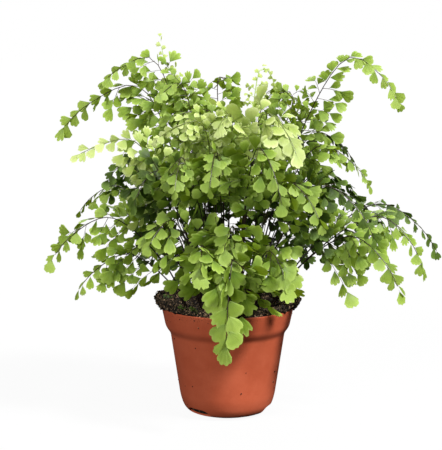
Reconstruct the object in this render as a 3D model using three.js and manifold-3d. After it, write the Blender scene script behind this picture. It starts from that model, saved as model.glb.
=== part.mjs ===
// A potted maidenhair fern: wiry black stalks rise from a clump in peat, and each ends in a spray of small
// fan-shaped leaflets. The pot is a thin, tapered nursery pot with a wide band at its rim.
// Sizes are millimetres and +Z is up. The origin is the middle of the pot's underside, and -Y is the front.
import * as THREE from "three";
import { mergeVertices } from "three/addons/utils/BufferGeometryUtils.js";
import Module from "manifold-3d";

const wasm = await Module();
wasm.setup();

// The pot
const POT_SIDES = 32;
const POT_HEIGHT = 98;
const RIM_RADIUS = 60;
const BAND_FOOT = 77.5;
const BAND_RADIUS = 56.4;
const WALL_TOP_RADIUS = 52.1;
const WALL_FOOT = 16.5;
const WALL_FOOT_RADIUS = 43.2;
const BASE_RADIUS = 27;
const WALL = 1.6;

// The drain slots through the pot's rounded corner
const SLOT_AZIMUTHS = [225, 345, 105];
const SLOT_WIDTH = 30;
const SLOT_HEIGHT = 9;
const SLOT_START = 34;
const SLOT_DEPTH = 20;

// The peat, heaped over the rim at the sides and the back, level with it in front, hollow in the middle
const CLEAR = 0.35;
const HEAP_RADIUS = 65;
const HEAP_HEIGHT = 108;
const HOLLOW_HEIGHT = 95.5;
const LUMP = 1.4;

// The stalks
const STALK_SIDES = 3;
const STALK_RADIUS = 1.25;
const ROOT_DEPTH = 8;
const HOLE_CLEAR = 0.75;
const FOOT_NEAR = 9;
const FOOT_FAR = 34;
const BARE_STEPS = 3;

// The blades: side sprigs of leaflets along a rib
const BLADE = 0.65;
const RIB = 0.8;
const SUNK = 5;
const SPACING = 15;
const MOST_SPRIGS = 7;
const SPRIG_PAIRS = 1.45;
const LEAF_ANGLE = 58;
const LEAF_SPREAD = 27;
const FIRST_LEAF = 0.32;
const PITCH = 0.8;
const FIRST_ANGLE = 66;
const LAST_ANGLE = 40;
const SAG = 0.006;
const DROOP = 0.22;

// How far a frond keeps from its neighbours, and what it tries until it is clear of them
const BERTH = 0.35;
const FOOT_TURNS = [0, 7, -7, 14, -14, 21, -21, 28, -28];
const FOOT_MOVES = [0, 4, -4, 8];
const ROLLS = [0, 20, -20, 40, -40, 60, -60];
const SIZES = [1, 0.75];

// Each frond: where its stalk tops out and where its tip hangs, each as [azimuth, radius, height], then its
// leaflets' length, the bare share of its stalk, where its blade faces as [azimuth, degrees from up], and how
// old its green is.
const FRONDS = {
  top_young: [[169, 50, 306], [172, 62, 346], 6.5, 0.74, [270, 60], "young"],
  top_left_arch: [[182, 68, 322], [190, 118, 295], 9.5, 0.62, [270, 62], "grown"],
  top_left_inner: [[188, 42, 300], [205, 70, 284], 10.5, 0.7, [270, 50], "grown"],
  left_high: [[177, 80, 297], [184, 156, 250], 11, 0.5, [270, 60], "grown"],
  left_pale: [[206, 92, 252], [204, 150, 237], 10, 0.55, [270, 55], "young"],
  left_middle: [[194, 92, 230], [201, 117, 208], 11, 0.55, [270, 60], "deep"],
  left_back: [[158, 109, 203], [157, 157, 170], 10, 0.5, [180, 20], "deep"],
  left_low: [[199, 110, 184], [201, 171, 140], 11.5, 0.45, [270, 48], "grown"],
  left_lowest: [[197, 92, 150], [202, 148, 113], 10.5, 0.35, [270, 48], "deep"],
  left_front: [[235, 84, 186], [236, 126, 158], 12, 0.5, [262, 50], "grown"],
  back_high_left: [[128, 62, 296], [134, 124, 252], 11, 0.55, [134, 30], "grown"],
  back_high: [[98, 60, 302], [84, 116, 268], 11, 0.55, [90, 30], "grown"],
  back_high_right: [[52, 64, 292], [44, 128, 246], 11, 0.55, [44, 30], "grown"],
  back_left: [[140, 98, 222], [143, 156, 166], 11, 0.5, [143, 35], "deep"],
  back_middle_left: [[112, 92, 232], [114, 152, 178], 11, 0.5, [114, 35], "deep"],
  back_middle_right: [[72, 94, 226], [68, 154, 170], 11, 0.5, [68, 35], "deep"],
  back_right: [[32, 100, 216], [28, 160, 160], 11, 0.5, [28, 35], "deep"],
  back_low_left: [[126, 90, 160], [130, 140, 118], 10.5, 0.4, [130, 40], "deep"],
  back_low: [[90, 88, 156], [92, 140, 112], 10.5, 0.4, [92, 40], "deep"],
  back_low_right: [[48, 90, 158], [44, 142, 116], 10.5, 0.4, [44, 40], "deep"],
  crown_left: [[225, 22, 276], [190, 60, 268], 11, 0.72, [270, 35], "grown"],
  crown_right: [[350, 26, 262], [10, 64, 262], 11, 0.72, [270, 35], "grown"],
  young_curl: [[30, 36, 314], [22, 48, 292], 6, 0.82, [270, 60], "young"],
  young_shoot: [[322, 30, 284], [328, 38, 303], 6.5, 0.82, [270, 40], "young"],
  pale_front_left: [[251, 74, 270], [230, 104, 250], 8.5, 0.68, [262, 55], "young"],
  pale_front_middle: [[272, 60, 276], [262, 88, 256], 11, 0.7, [270, 55], "young"],
  pale_front_right: [[298, 66, 277], [304, 110, 232], 12.5, 0.66, [278, 55], "young"],
  centre_hanging: [[286, 92, 250], [291, 128, 194], 12, 0.62, [280, 60], "grown"],
  centre: [[263, 80, 246], [262, 116, 208], 11.5, 0.6, [268, 55], "grown"],
  centre_left: [[240, 78, 240], [246, 112, 205], 11, 0.6, [256, 55], "grown"],
  centre_left_low: [[216, 76, 226], [222, 112, 190], 11, 0.6, [250, 50], "deep"],
  right_of_centre: [[306, 84, 220], [310, 128, 174], 13, 0.55, [290, 55], "grown"],
  right_high: [[356, 108, 323], [349, 158, 273], 11.5, 0.55, [270, 62], "grown"],
  right_high_spray: [[18, 62, 290], [60, 50, 278], 10.5, 0.72, [270, 60], "grown"],
  right_shoulder: [[8, 80, 255], [1, 120, 220], 11, 0.55, [0, 14], "deep"],
  right_shoulder_low: [[343, 84, 246], [342, 136, 204], 11.5, 0.52, [330, 24], "grown"],
  right_far: [[5, 138, 190], [0, 196, 138], 11.5, 0.5, [300, 34], "deep"],
  right_middle: [[326, 100, 214], [330, 150, 160], 12, 0.5, [290, 45], "grown"],
  right_low: [[333, 120, 170], [332, 172, 114], 12.5, 0.52, [280, 50], "grown"],
  right_far_low: [[348, 136, 184], [346, 182, 128], 11.5, 0.5, [290, 42], "grown"],
  right_rim: [[318, 60, 144], [312, 86, 130], 8.5, 0.45, [280, 50], "young"],
  front_hanging: [[272, 96, 156], [269, 116, 70], 13.5, 0.35, [270, 78], "grown"],
  front_left: [[254, 80, 166], [259, 120, 136], 13, 0.42, [262, 60], "grown"],
  front_right: [[296, 80, 160], [298, 112, 120], 12.5, 0.42, [282, 60], "grown"],
  front_middle: [[274, 62, 180], [267, 102, 154], 12, 0.5, [270, 60], "deep"],
};

const UP = new THREE.Vector3(0, 0, 1);

// A point from its azimuth in degrees, its distance from the pot's axis and its height
function polar(azimuth, radius, height) {
  const angle = THREE.MathUtils.degToRad(azimuth);
  return new THREE.Vector3(radius * Math.cos(angle), radius * Math.sin(angle), height);
}

// A closed geometry as a solid that can be joined or cut. Faces that close on a point are dropped.
function solidOf(geometry) {
  const bare = geometry.clone();
  bare.deleteAttribute("uv");
  bare.deleteAttribute("normal");
  const merged = mergeVertices(bare, 1e-4);
  const corners = merged.index.array;
  const kept = [];
  for (let i = 0; i < corners.length; i += 3) {
    const [a, b, c] = corners.slice(i, i + 3);
    if (a !== b && b !== c && c !== a) kept.push(a, b, c);
  }
  const vertProperties = merged.attributes.position.array;
  return new wasm.Manifold(new wasm.Mesh({ numProp: 3, vertProperties, triVerts: new Uint32Array(kept) }));
}

// A solid as a geometry with flat faces
function geometryOf(solid) {
  const mesh = solid.getMesh();
  const geometry = new THREE.BufferGeometry();
  geometry.setAttribute("position", new THREE.BufferAttribute(mesh.vertProperties, 3));
  geometry.setIndex(new THREE.BufferAttribute(mesh.triVerts, 1));
  const flat = geometry.toNonIndexed();
  flat.computeVertexNormals();
  return flat;
}

// A closed profile of [radius, height] pairs, turned about the pot's axis
function turned(profile) {
  const points = profile.map(([radius, height]) => new THREE.Vector2(radius, height));
  return new THREE.LatheGeometry(points, POT_SIDES).rotateX(Math.PI / 2);
}

// The pot: one thin moulded shell, with three drain slots cut through its rounded corner
function potSolid() {
  const shell = turned([
    [0, 0],
    [BASE_RADIUS, 0],
    [WALL_FOOT_RADIUS - 6.4, 3],
    [WALL_FOOT_RADIUS - 2.6, 8.2],
    [WALL_FOOT_RADIUS, WALL_FOOT],
    [WALL_TOP_RADIUS, BAND_FOOT - 2.9],
    [BAND_RADIUS, BAND_FOOT + 3],
    [RIM_RADIUS, POT_HEIGHT - 0.7],
    [RIM_RADIUS - 0.5, POT_HEIGHT],
    [RIM_RADIUS - WALL, POT_HEIGHT],
    [BAND_RADIUS - 1.5, BAND_FOOT + 3.65],
    [WALL_TOP_RADIUS - 1.5, BAND_FOOT - 2.3],
    [WALL_FOOT_RADIUS - WALL, WALL_FOOT + 0.3],
    [WALL_FOOT_RADIUS - 4.05, 8.95],
    [WALL_FOOT_RADIUS - 7.4, 4.4],
    [BASE_RADIUS - 0.4, WALL],
    [0, WALL],
  ]);
  const arch = new THREE.Shape();
  arch.moveTo(-SLOT_WIDTH / 2, -1);
  arch.lineTo(SLOT_WIDTH / 2, -1);
  arch.quadraticCurveTo(SLOT_WIDTH / 2 - 3, SLOT_HEIGHT, 0, SLOT_HEIGHT);
  arch.quadraticCurveTo(3 - SLOT_WIDTH / 2, SLOT_HEIGHT, -SLOT_WIDTH / 2, -1);
  const slots = SLOT_AZIMUTHS.map((azimuth) => {
    const options = { depth: SLOT_DEPTH, bevelEnabled: false, curveSegments: 3 };
    const slot = new THREE.ExtrudeGeometry(arch, options);
    slot.rotateX(Math.PI / 2).rotateZ(Math.PI / 2).translate(SLOT_START, 0, 0);
    return solidOf(slot.rotateZ(THREE.MathUtils.degToRad(azimuth)));
  });
  return solidOf(shell).subtract(wasm.Manifold.union(slots));
}

// How high a lump of peat stands at a place: a few crossed waves, so the same every time
function lump(x, y) {
  const coarse = Math.sin(0.21 * x + 1.3) * Math.cos(0.24 * y - 0.4);
  const fine = Math.sin(0.55 * x - 0.37 * y) * Math.cos(0.43 * x + 0.6 * y + 0.9);
  return LUMP * (0.6 * coarse + 0.4 * fine);
}

// The peat: it fills the pot just clear of the wall. Above the rim each point is set between a heaped profile
// and, towards the front, a level one.
function soilSolid() {
  const inner = RIM_RADIUS - WALL - CLEAR;
  const packed = [
    [0, WALL + CLEAR],
    [BASE_RADIUS - 0.7, WALL + CLEAR],
    [WALL_FOOT_RADIUS - 7.6, 4.7],
    [WALL_FOOT_RADIUS - 4.4, 9.1],
    [WALL_FOOT_RADIUS - WALL - CLEAR, WALL_FOOT + 0.4],
    [WALL_TOP_RADIUS - WALL - CLEAR + 0.1, BAND_FOOT - 2.1],
    [BAND_RADIUS - WALL - CLEAR + 0.1, BAND_FOOT + 3.8],
    [inner, POT_HEIGHT + CLEAR],
  ];
  const heaped = [
    [RIM_RADIUS + 0.8, POT_HEIGHT + 2 * CLEAR],
    [HEAP_RADIUS, POT_HEIGHT + 5],
    [HEAP_RADIUS - 4, HEAP_HEIGHT],
    [HEAP_RADIUS - 12, HEAP_HEIGHT - 2.5],
    [HEAP_RADIUS - 23, HEAP_HEIGHT - 8.5],
    [HEAP_RADIUS - 38, HOLLOW_HEIGHT + 0.8],
    [0, HOLLOW_HEIGHT],
  ];
  const level = [
    [inner - 0.2, POT_HEIGHT + 2 * CLEAR],
    [inner - 0.8, POT_HEIGHT + 1.2],
    [inner - 3, POT_HEIGHT + 2],
    [inner - 7, POT_HEIGHT + 2],
    [inner - 16, POT_HEIGHT + 0.5],
    [HEAP_RADIUS - 38, HOLLOW_HEIGHT + 0.8],
    [0, HOLLOW_HEIGHT],
  ];
  const soil = turned([...packed, ...heaped]);
  const place = soil.attributes.position;
  const rows = packed.length + heaped.length;
  for (let i = 0; i < place.count; i += 1) {
    const row = (i % rows) - packed.length;
    if (row < 0) continue;
    const side = (2 * Math.PI * Math.floor(i / rows)) / POT_SIDES;
    const front = THREE.MathUtils.smoothstep(Math.cos(side), 0.3, 0.95);
    const radius = THREE.MathUtils.lerp(heaped[row][0], level[row][0], front);
    const height = THREE.MathUtils.lerp(heaped[row][1], level[row][1], front);
    const x = radius * Math.sin(side);
    const y = -radius * Math.cos(side);
    place.setXYZ(i, x, y, height + (row > 0 && radius > 0 ? lump(x, y) : 0));
  }
  return solidOf(soil);
}

// A closed prism with its ring centres at the given points. The vector across never runs along it.
function prismAlong(points, radius, across) {
  const positions = [];
  points.forEach((point, i) => {
    const ahead = points[Math.min(i + 1, points.length - 1)].clone();
    const tangent = ahead.sub(points[Math.max(i - 1, 0)]).normalize();
    const first = across.clone().addScaledVector(tangent, -across.dot(tangent)).normalize();
    const second = new THREE.Vector3().crossVectors(tangent, first);
    for (let side = 0; side < STALK_SIDES; side += 1) {
      const angle = (2 * Math.PI * side) / STALK_SIDES;
      const corner = point.clone().addScaledVector(first, radius * Math.cos(angle));
      corner.addScaledVector(second, radius * Math.sin(angle));
      positions.push(corner.x, corner.y, corner.z);
    }
  });
  const faces = [];
  for (let side = 0; side < STALK_SIDES; side += 1) {
    const next = (side + 1) % STALK_SIDES;
    for (let low = 0; low < positions.length / 3 - STALK_SIDES; low += STALK_SIDES) {
      const high = low + STALK_SIDES;
      faces.push(low + side, low + next, high + next, low + side, high + next, high + side);
    }
  }
  const end = positions.length / 3 - STALK_SIDES;
  for (let side = 1; side < STALK_SIDES - 1; side += 1) {
    faces.push(0, side + 1, side, end, end + side, end + side + 1);
  }
  const vertProperties = new Float32Array(positions);
  return new wasm.Manifold(new wasm.Mesh({ numProp: 3, vertProperties, triVerts: new Uint32Array(faces) }));
}

// A stalk's line. It climbs steeply from its foot, tops out at the crest and arches over to the tip.
function stalkCurve(foot, crest, tip) {
  const climb = crest.clone().sub(foot);
  const fall = tip.clone().sub(crest);
  const middle = foot.clone().add(climb.clone().multiply(new THREE.Vector3(0.38, 0.38, 0.58)));
  const shoulder = crest.clone().add(fall.clone().multiply(new THREE.Vector3(0.6, 0.6, 0.35)));
  return new THREE.CatmullRomCurve3([foot, middle, crest, shoulder, tip], false, "centripetal");
}

// The places along a stalk: a few on its bare part, then one at each sprig. The last leaflet ends at the tip.
function stalkPoints(curve, bare, leaf) {
  const leafy = 1 - bare - leaf / curve.getLength();
  const sprigs = THREE.MathUtils.clamp(Math.round((curve.getLength() * leafy) / SPACING), 3, MOST_SPRIGS);
  const shares = [];
  for (let i = 0; i < BARE_STEPS; i += 1) shares.push((bare * i) / BARE_STEPS);
  for (let i = 0; i <= sprigs; i += 1) shares.push(bare + (leafy * i) / sprigs);
  return shares.map((share) => curve.getPointAt(share));
}

// A thin closed blade from flat polygons that share corners, each with its spot in space. Both faces are
// split alike, and a wall closes each edge that has no neighbour.
function bladeSolid(polygons, thickness) {
  const corners = [...new Set(polygons.flat())];
  const order = new Map(corners.map((corner, i) => [corner, i]));
  const top = polygons.flatMap((polygon) => {
    const triangles = THREE.ShapeUtils.triangulateShape(polygon.map((corner) => corner.flat), []);
    return triangles.map((triangle) => triangle.map((i) => order.get(polygon[i])));
  });
  const positions = [0.5, -0.5].flatMap((side) =>
    corners.flatMap(({ spot, normal }) => spot.clone().addScaledVector(normal, side * thickness).toArray()),
  );
  const under = corners.length;
  const edges = new Map();
  for (const [a, b, c] of top) {
    for (const edge of [[a, b], [b, c], [c, a]]) edges.set(edge.join(), edge);
  }
  const faces = top.flatMap(([a, b, c]) => [a, b, c, c + under, b + under, a + under]);
  for (const [a, b] of edges.values()) {
    if (!edges.has([b, a].join())) faces.push(b, a, a + under, b, a + under, b + under);
  }
  const vertProperties = new Float32Array(positions);
  return new wasm.Manifold(new wasm.Mesh({ numProp: 3, vertProperties, triVerts: new Uint32Array(faces) }));
}

// A sprig's outline as [out, aside] pairs, from one side of its root round to the other. The leaflets are
// wedges with a notched outer edge, cut back to the rib on both sides, and the last one fans out at the end.
function sprigOutline(leaf, pairs) {
  const wedge = (start, side, reach, angle) => {
    const turn = THREE.MathUtils.degToRad(angle);
    return [start + leaf * reach * Math.cos(turn), side * (RIB / 2 + leaf * reach * Math.sin(turn))];
  };
  const last = pairs > 0 ? leaf * (FIRST_LEAF + PITCH * pairs) : RIB;
  const edge = (side) => {
    const points = [];
    for (let i = 0; i < pairs; i += 1) {
      const start = leaf * (FIRST_LEAF + PITCH * i);
      points.push([start, (side * RIB) / 2]);
      points.push(wedge(start, side, 0.92, LEAF_ANGLE + LEAF_SPREAD));
      points.push(wedge(start, side, 0.86, LEAF_ANGLE + 4));
      points.push(wedge(start, side, 0.88, LEAF_ANGLE - LEAF_SPREAD));
    }
    if (pairs > 0) points.push([last, (side * RIB) / 2]);
    points.push(wedge(last, side, 0.96, LEAF_SPREAD + 4));
    return points;
  };
  return [...edge(-1), [last + leaf * 0.9, 0], ...edge(1).reverse()];
}

// The corners of a sprig that grows from a point of the rib, out to one side (-1 or 1) in the frond's plane.
// It droops, is rolled about its own rib, and arches down towards its edges.
function sprigCorners(node, side, angle, leaf, pairs, roll) {
  const turn = THREE.MathUtils.degToRad(angle) * side;
  const out = node.along.clone().multiplyScalar(Math.cos(turn)).addScaledVector(node.across, Math.sin(turn));
  out.addScaledVector(UP, -DROOP).normalize();
  const aside = new THREE.Vector3().crossVectors(node.normal, out).normalize();
  aside.applyAxisAngle(out, THREE.MathUtils.degToRad(roll));
  const normal = new THREE.Vector3().crossVectors(out, aside);
  return sprigOutline(leaf, pairs).map(([x, y]) => {
    const flat = new THREE.Vector2(x, y).rotateAround(new THREE.Vector2(), turn).add(node.flat);
    const spot = node.spot.clone().addScaledVector(out, x).addScaledVector(aside, y);
    return { flat, spot: spot.addScaledVector(normal, -SAG * (x * x + y * y)), normal };
  });
}

// A corner on the rib itself, a little along it and to one side
function ribCorner(node, along, aside) {
  const flat = node.flat.clone().add(new THREE.Vector2(along, aside));
  const spot = node.spot.clone().addScaledVector(node.along, along);
  return { flat, spot: spot.addScaledVector(node.across, aside), normal: node.normal };
}

function clearOf(solid, others) {
  const box = solid.boundingBox();
  return others.every((other) => {
    const apart = [0, 1, 2].some((k) => box.min[k] > other.box.max[k] || box.max[k] < other.box.min[k]);
    return apart || solid.intersect(other.solid).isEmpty();
  });
}

function placed(solid, name) {
  return { solid, name, box: solid.boundingBox() };
}

// Where a frond stands in the peat: further out the more it leans
function footOf(crest, turn, move) {
  const lean = Math.hypot(crest.x, crest.y) / (crest.z - HOLLOW_HEIGHT);
  const radius = THREE.MathUtils.lerp(FOOT_NEAR, FOOT_FAR, Math.min(1, lean / 1.3)) + move;
  const azimuth = THREE.MathUtils.radToDeg(Math.atan2(crest.y, crest.x)) + turn;
  return polar(azimuth, Math.max(radius, 4), HOLLOW_HEIGHT - ROOT_DEPTH);
}

// The stalk is shifted at its foot until it is clear of the ones before it
function growStalk([name, [crest, tip, leaf, bare, facing, tone]], others) {
  const [top, end] = [polar(...crest), polar(...tip)];
  const across = polar(crest[0] + 90, 1, 0);
  for (const move of FOOT_MOVES) {
    for (const turn of FOOT_TURNS) {
      const curve = stalkCurve(footOf(top, turn, move), top, end);
      const points = stalkPoints(curve, bare, leaf);
      const solid = prismAlong(points, STALK_RADIUS, across);
      if (clearOf(prismAlong(points, STALK_RADIUS + 2 * BERTH, across), others)) {
        return { name, leaf, facing, tone, points, across, solid };
      }
    }
  }
  throw new Error(`${name} crosses another stalk`);
}

// The bare part of a stalk alone. It ends just short of the lowest sprig, round the start of the blade's rib.
function bareStalk({ points, across }) {
  const [before, lowest] = points.slice(BARE_STEPS - 1);
  const end = lowest.clone().lerp(before, (SUNK * 0.4) / lowest.distanceTo(before));
  return prismAlong([...points.slice(0, BARE_STEPS), end], STALK_RADIUS, across);
}

// The frames along the leafy part: a spot, the way along, the way across in the frond's plane, and its normal
function leafyNodes(points, facing) {
  const [azimuth, tilt] = facing;
  const turn = THREE.MathUtils.degToRad(tilt);
  const face = polar(azimuth, Math.sin(turn), Math.cos(turn));
  return points.slice(BARE_STEPS).map((spot, i) => {
    const before = points[BARE_STEPS + i - 1];
    const after = points[BARE_STEPS + Math.min(i && i + 1, points.length - 1 - BARE_STEPS)];
    const along = after.clone().sub(before).normalize();
    const across = new THREE.Vector3().crossVectors(face, along).normalize();
    const normal = new THREE.Vector3().crossVectors(along, across);
    const length = points.slice(BARE_STEPS, BARE_STEPS + i).reduce(
      (sum, point, k) => sum + point.distanceTo(points[BARE_STEPS + k + 1]), 0);
    return { spot, along, across, normal, flat: new THREE.Vector2(length, 0) };
  });
}

// The blade: sprigs on alternate sides, from several leaflets low down to single ones near the tip. Each is
// rolled about its rib until it is clear of the other fronds, or left out.
function growBlade(stalk, others) {
  const nodes = leafyNodes(stalk.points, stalk.facing);
  const last = nodes.length - 1;
  const polygons = [];
  const added = [];
  let right = ribCorner(nodes[0], -SUNK, -RIB / 2);
  let left = ribCorner(nodes[0], -SUNK, RIB / 2);
  nodes.forEach((node, i) => {
    const side = i % 2 ? 1 : -1;
    const reach = i === last ? 0 : RIB / 2;
    const near = ribCorner(node, -reach, (side * RIB) / 2);
    const far = i === last ? near : ribCorner(node, reach, (side * RIB) / 2);
    const opposite = ribCorner(node, 0, (-side * RIB) / 2);
    if (side > 0) polygons.push([right, opposite, near, left]);
    else polygons.push([right, near, opposite, left]);
    if (i < last) polygons.push(side > 0 ? [opposite, far, near] : [near, far, opposite]);
    [right, left] = side > 0 ? [opposite, far] : [far, opposite];
    const root = i === last ? [left, right] : side > 0 ? [near, far] : [far, near];
    const share = i / last;
    const pairs = i === last ? 0 : Math.round(SPRIG_PAIRS * (1 - share) ** 1.6);
    const angle = i === last ? 0 : THREE.MathUtils.lerp(FIRST_ANGLE, LAST_ANGLE, share);
    const choices = SIZES.flatMap((size) => ROLLS.map((roll) => [size * stalk.leaf, roll]));
    const sprig = choices
      .map(([size, roll]) => [...root, ...sprigCorners(node, side, angle, size, pairs, roll)])
      .find((polygon) => clearOf(bladeSolid([polygon], BLADE + 2 * BERTH), others));
    if (!sprig) return;
    polygons.push(sprig);
    added.push(placed(bladeSolid([sprig], BLADE), stalk.name));
  });
  return { solid: bladeSolid(polygons, BLADE), added };
}

const pot = potSolid();
const soilBody = soilSolid();
const ground = [placed(pot, "pot"), placed(soilBody, "soil")];

const stalks = [];
const standing = [placed(pot, "pot")];
for (const entry of Object.entries(FRONDS)) {
  const stalk = growStalk(entry, standing);
  stalks.push(stalk);
  standing.push(placed(stalk.solid, stalk.name));
}

// Each stalk stands in a plain hole in the peat
const holes = stalks.map(({ points, across }) => {
  const start = points[0].clone().lerp(points[1], -0.01);
  return prismAlong([start, points[1]], STALK_RADIUS + HOLE_CLEAR, across);
});
const soil = soilBody.subtract(wasm.Manifold.union(holes));

const grown = [...ground, ...standing.slice(1)];
const fronds = stalks.map((stalk) => {
  const others = grown.filter((other) => other.name !== stalk.name);
  const blade = growBlade(stalk, others);
  grown.push(...blade.added);
  return bareStalk(stalk).add(blade.solid);
});

const terracotta = new THREE.MeshStandardMaterial({ color: 0xb4553b, roughness: 0.55, metalness: 0 });
const peat = new THREE.MeshStandardMaterial({ color: 0x2b1f17, roughness: 1, metalness: 0 });
const greens = {
  young: new THREE.MeshStandardMaterial({ color: 0xc3d96c, roughness: 0.6, metalness: 0 }),
  grown: new THREE.MeshStandardMaterial({ color: 0x86ad42, roughness: 0.6, metalness: 0 }),
  deep: new THREE.MeshStandardMaterial({ color: 0x547f2e, roughness: 0.6, metalness: 0 }),
};

function named(name, solid, material) {
  const mesh = new THREE.Mesh(geometryOf(solid), material);
  mesh.name = name;
  return mesh;
}

const fern = new THREE.Group();
fern.add(named("pot", pot, terracotta), named("soil", soil, peat));
stalks.forEach(({ name, tone }, i) => fern.add(named(`frond_${name}`, fronds[i], greens[tone])));

export default fern;
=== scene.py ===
# %% [markdown]
# # A maidenhair fern in its nursery pot
# A maidenhair fern has hundreds of small fan-shaped leaflets on black stalks as thin as wire. The solids of
# this plant give each frond its true path and its reach, with about ten thick leaflets each. Here each frond
# is grown again on the same path, with all of its leaflets, and the pot and the peat get their finer shapes.
#
# The imported model is loaded first, because it is the frame: all sizes here are metres, in its axes.

import math

import bpy
import numpy as np
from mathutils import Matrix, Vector


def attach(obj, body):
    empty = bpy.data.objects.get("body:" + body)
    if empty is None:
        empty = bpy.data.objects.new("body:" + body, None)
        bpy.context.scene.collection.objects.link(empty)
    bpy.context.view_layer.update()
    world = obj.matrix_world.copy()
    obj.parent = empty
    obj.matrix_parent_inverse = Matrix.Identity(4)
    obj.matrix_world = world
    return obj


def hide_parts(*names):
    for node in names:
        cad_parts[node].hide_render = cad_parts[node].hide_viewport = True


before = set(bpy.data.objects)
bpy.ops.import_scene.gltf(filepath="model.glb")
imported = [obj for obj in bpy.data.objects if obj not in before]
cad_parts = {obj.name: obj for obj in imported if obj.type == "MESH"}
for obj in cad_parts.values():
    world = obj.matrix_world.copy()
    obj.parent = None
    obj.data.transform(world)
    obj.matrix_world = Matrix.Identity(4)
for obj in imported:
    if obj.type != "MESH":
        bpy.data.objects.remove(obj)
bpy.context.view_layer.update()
MM = 0.001

# %% [markdown]
# ## The camera
# The pot's rim shows as an ellipse, and how flat it is tells how far above level the camera stood: about
# eight degrees. The way the pot narrows and the ellipse of its foot give the distance. The target is the
# middle of the picture, and the lens is chosen so that the pot comes out as wide as in the photograph.

# %% Place the camera
PICTURE = (442, 450)
DISTANCE = 1.300
ELEVATION = math.radians(7.98)
TARGET = Vector((-0.0060, 0.0, 0.1722))
FOCAL_PIXELS = 1438.0

view = bpy.data.cameras.new("view")
view.sensor_width = 36.0
view.lens = FOCAL_PIXELS / max(PICTURE) * view.sensor_width
camera = bpy.data.objects.new("view", view)
bpy.context.scene.collection.objects.link(camera)
back = Vector((0.0, -math.cos(ELEVATION), math.sin(ELEVATION)))
camera.location = TARGET + back * DISTANCE
camera.rotation_euler = back.to_track_quat("Z", "Y").to_euler()
bpy.context.scene.camera = camera
print("lens:", round(view.lens, 1), "mm")

# %% [markdown]
# ## From arrays to a mesh
# Every piece here is worked out as whole numpy arrays. This helper turns them into one Blender mesh: the
# points, the faces as rows of point numbers, and maps that say where each point lies on its own leaflet or
# stalk. Faces are shaded smooth, and an edge that turns sharply, such as a leaf's margin, is kept crisp.

# %% Make a piece from arrays
def make_piece(name, points, faces, material, maps=None, crisp=50.0):
    """A mesh object at the origin. faces is a list of whole-number arrays with three or four columns, maps
    gives a pair of numbers for each point under each name, and crisp is the angle in degrees past which an
    edge shows."""
    corners = np.concatenate([rows.ravel() for rows in faces]).astype(np.int32)
    sizes = np.concatenate([np.full(len(rows), rows.shape[1]) for rows in faces])
    starts = np.concatenate([[0], np.cumsum(sizes)[:-1]]).astype(np.int32)
    mesh = bpy.data.meshes.new(name)
    mesh.vertices.add(len(points))
    mesh.vertices.foreach_set("co", np.asarray(points, dtype=np.float32).ravel())
    mesh.loops.add(len(corners))
    mesh.loops.foreach_set("vertex_index", corners)
    mesh.polygons.add(len(starts))
    mesh.polygons.foreach_set("loop_start", starts)
    mesh.update(calc_edges=True)
    for label, pairs in (maps or {}).items():
        layer = mesh.uv_layers.new(name=label)
        layer.data.foreach_set("uv", np.asarray(pairs, dtype=np.float32)[corners].ravel())
    mesh.polygons.foreach_set("use_smooth", np.ones(len(starts), dtype=bool))
    mesh.set_sharp_from_angle(angle=math.radians(crisp))
    mesh.materials.append(material)
    piece = bpy.data.objects.new(name, mesh)
    bpy.context.scene.collection.objects.link(piece)
    return piece

# %% Helpers for arrays
def unit(vectors):
    """Each vector divided by its length."""
    return vectors / np.maximum(np.linalg.norm(vectors, axis=-1, keepdims=True), 1e-12)


def full_turn(count):
    """Angles spaced evenly round a circle."""
    return np.linspace(0, 2 * np.pi, count, endpoint=False)


def grid_faces(rows, columns, wrap=False):
    """Four-sided faces of a grid whose point numbers run along each row: a point, the next one in its row,
    and the same two a row further on. wrap joins the last column to the first."""
    row, column = np.indices((rows - 1, columns if wrap else columns - 1))
    after = (column + 1) % columns
    low, high = row * columns, (row + 1) * columns
    return np.stack([low + column, low + after, high + after, high + column], axis=-1).reshape(-1, 4)


def copies(faces, count, points):
    """The faces of many equal forms, each of which has its own run of point numbers."""
    return (faces + np.arange(count)[:, None, None] * points).reshape(-1, faces.shape[1])


def closed_rings(rings, ends):
    """Points and faces of a closed shell from rings of points, [ring, turn, (x, y, z)]. The first ring closes
    on the first of the two ends, and the last ring on the second."""
    count, turns = rings.shape[:2]
    points = np.vstack([rings.reshape(-1, 3), ends])
    column = np.arange(turns)
    after = (column + 1) % turns
    last = (count - 1) * turns
    foot = np.stack([np.full(turns, len(points) - 2), after, column], axis=-1)
    lid = np.stack([np.full(turns, len(points) - 1), last + column, last + after], axis=-1)
    return points, [grid_faces(count, turns, wrap=True), foot, lid]


print("faces of a grid of 3 by 4 points:", len(grid_faces(3, 4)))

# %% [markdown]
# ## Finishes as arithmetic
# A finish is a small sum: a dark green, plus a little yellow at the edge, less a thin line for each vein.
# Written as Python arithmetic it stays readable. A Wire is one value on its way through the finish, and each
# operator on it adds one Math node. Colours are mixed with Mix nodes, since a Math node would turn them grey.

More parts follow.
